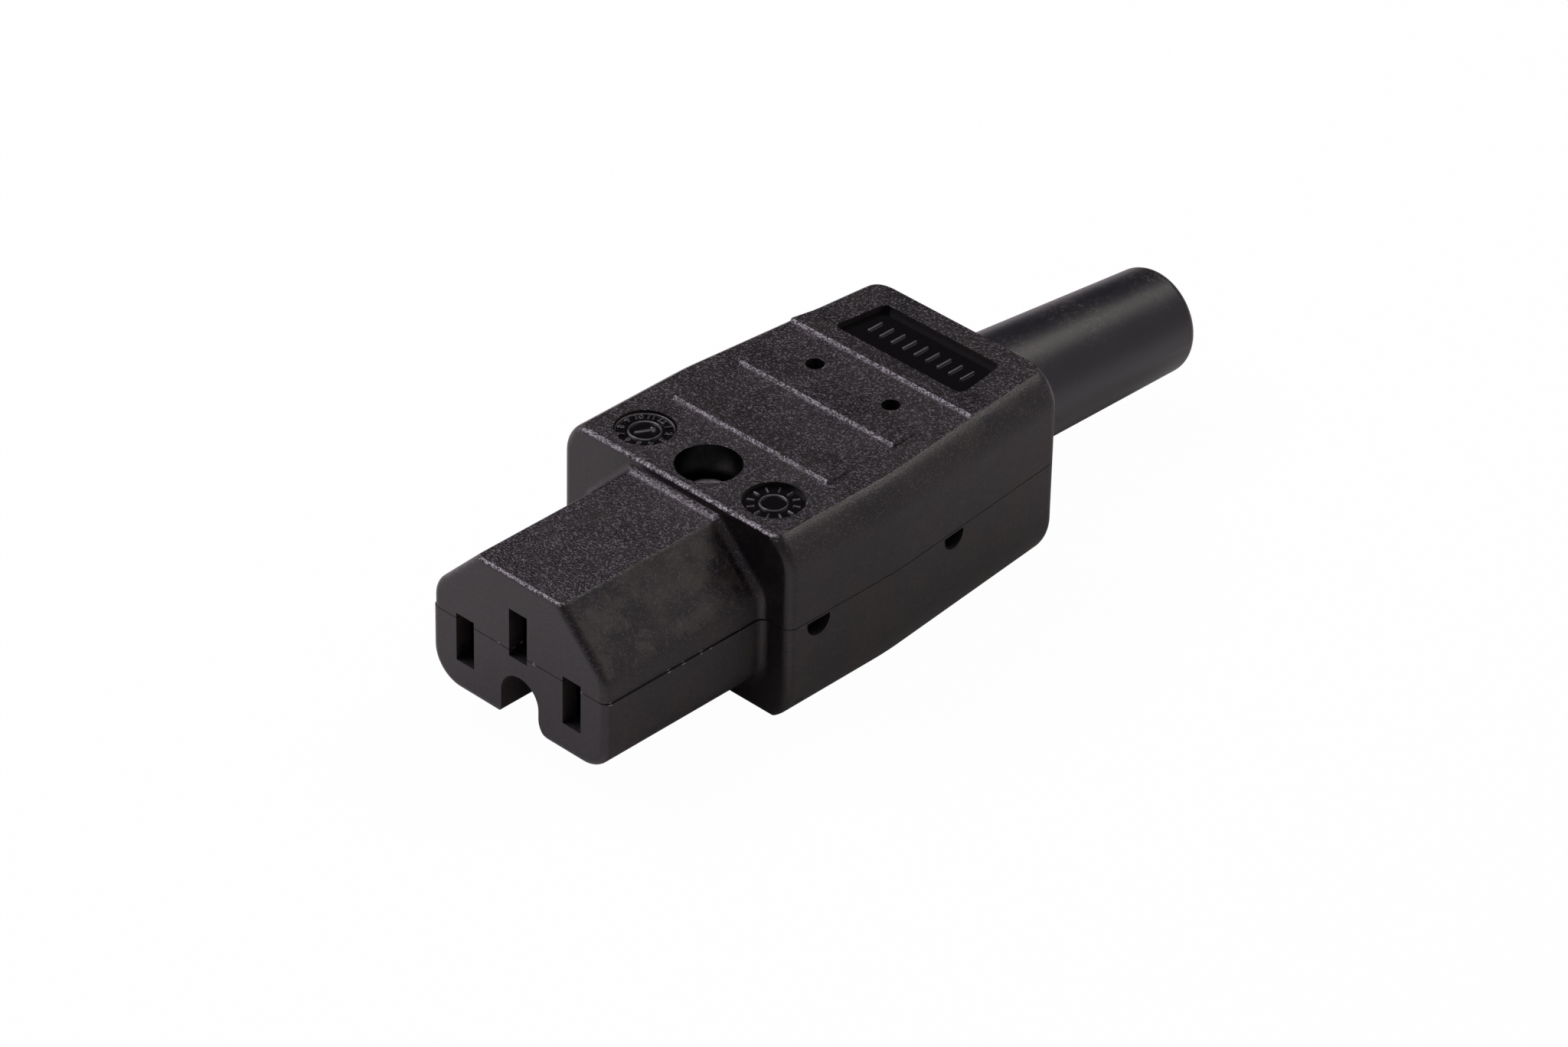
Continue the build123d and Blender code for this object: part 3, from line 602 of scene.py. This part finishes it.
def floorFinish():
    finish = Finish("paleFloor")
    finish.set(colour=studio["floorColour"], rough=studio["floorRough"], specular=studio["floorSpecular"])
    rays = finish.make("ShaderNodeLightPath", output="Is Camera Ray")
    shine = finish.make("ShaderNodeEmission", None, {"Color": (1.0, 1.0, 1.0, 1.0), "Strength": 1.0})
    lit = Wire(finish, finish.shader.outputs[0])
    mixed = finish.make("ShaderNodeMixShader", None, [rays * studio["cameraShare"], lit, shine])
    finish.put(finish.output.inputs["Surface"], mixed)
    return finish.material


def makeFloor():
    low = cadBox[0][2]
    half = studio["floorHalf"]
    mesh = bpy.data.meshes.new("floor")
    mesh.from_pydata([(-half, -half, low), (half, -half, low), (half, half, low), (-half, half, low)], [],
                     [(0, 1, 2, 3)])
    mesh.materials.append(floorFinish())
    plane = bpy.data.objects.new("floor", mesh)
    bpy.context.scene.collection.objects.link(plane)


def softLamp(name, lamp):
    # an area lamp that looks at the object; its power is pi times area times radiance
    away = Vector(lamp["direction"]).normalized()
    light = bpy.data.lights.new(name, "AREA")
    light.shape = "RECTANGLE"
    light.size = lamp["width"]
    light.size_y = lamp["height"]
    light.energy = math.pi * lamp["width"] * lamp["height"] * lamp["radiance"]
    light.color = lamp["colour"]
    holder = bpy.data.objects.new(name, light)
    holder.location = Vector(studio["aim"]) + away * lamp["distance"]
    holder.rotation_euler = away.to_track_quat("Z", "Y").to_euler()
    bpy.context.scene.collection.objects.link(holder)


def makeRoom():
    # the room as the object sees it, and plain white to the camera
    world = bpy.data.worlds.new("paleRoom")
    bpy.context.scene.world = world
    world.use_nodes = True
    tree = world.node_tree
    tree.nodes.clear()

    def add(kind, settings, *inputs):
        node = tree.nodes.new(kind)
        for key, value in settings.items():
            setattr(node, key, value)
        for index, value in enumerate(inputs):
            if isinstance(value, bpy.types.NodeSocket):
                tree.links.new(value, node.inputs[index])
            else:
                node.inputs[index].default_value = value
        return node

    direction = add("ShaderNodeTexCoord", {}).outputs["Generated"]
    glow = studio["glow"]
    for side, strength, sharpness in studio["sides"]:
        turn = add("ShaderNodeVectorMath", {"operation": "DOT_PRODUCT"}, direction, side).outputs["Value"]
        turn = add("ShaderNodeMath", {"operation": "MAXIMUM"}, turn, 0.0).outputs[0]
        lobe = add("ShaderNodeMath", {"operation": "POWER"}, turn, sharpness).outputs[0]
        glow = add("ShaderNodeMath", {"operation": "MULTIPLY_ADD"}, lobe, strength, glow).outputs[0]
    room = add("ShaderNodeBackground", {}, (*studio["tint"], 1.0), glow)
    sight = add("ShaderNodeBackground", {}, (1.0, 1.0, 1.0, 1.0), 1.0)
    ray = add("ShaderNodeLightPath", {}).outputs["Is Camera Ray"]
    mixed = add("ShaderNodeMixShader", {}, ray, room.outputs[0], sight.outputs[0])
    add("ShaderNodeOutputWorld", {}, mixed.outputs[0])


def makeCamera():
    # azimuth 0 looks along +Y; roll turns the picture round its middle
    azimuth, elevation, roll = (math.radians(camera[key]) for key in ("azimuth", "elevation", "roll"))
    toCamera = Vector((math.sin(azimuth) * math.cos(elevation), -math.cos(azimuth) * math.cos(elevation),
                       math.sin(elevation)))
    right = Vector((math.cos(azimuth), math.sin(azimuth), 0.0))
    up = toCamera.cross(right)
    turnedRight = right * math.cos(roll) + up * math.sin(roll)
    turnedUp = up * math.cos(roll) - right * math.sin(roll)
    data = bpy.data.cameras.new("camera")
    data.sensor_width = camera["sensor"]
    data.lens = camera["focalPixels"] / camera["imageWidth"] * camera["sensor"]
    data.clip_start = camera["clipStart"]
    data.clip_end = camera["clipEnd"]
    view = bpy.data.objects.new("camera", data)
    spot = (Vector(camera["target"]) + toCamera * camera["distance"]) * mm
    axes = Matrix((turnedRight, turnedUp, toCamera)).transposed().to_4x4()
    view.matrix_world = Matrix.Translation(spot) @ axes
    bpy.context.scene.collection.objects.link(view)
    bpy.context.scene.camera = view


print("studio")
makeFloor()
for name, lamp in lamps.items():
    softLamp(name, lamp)
makeRoom()
makeCamera()
bpy.context.scene.view_settings.view_transform = "Standard"
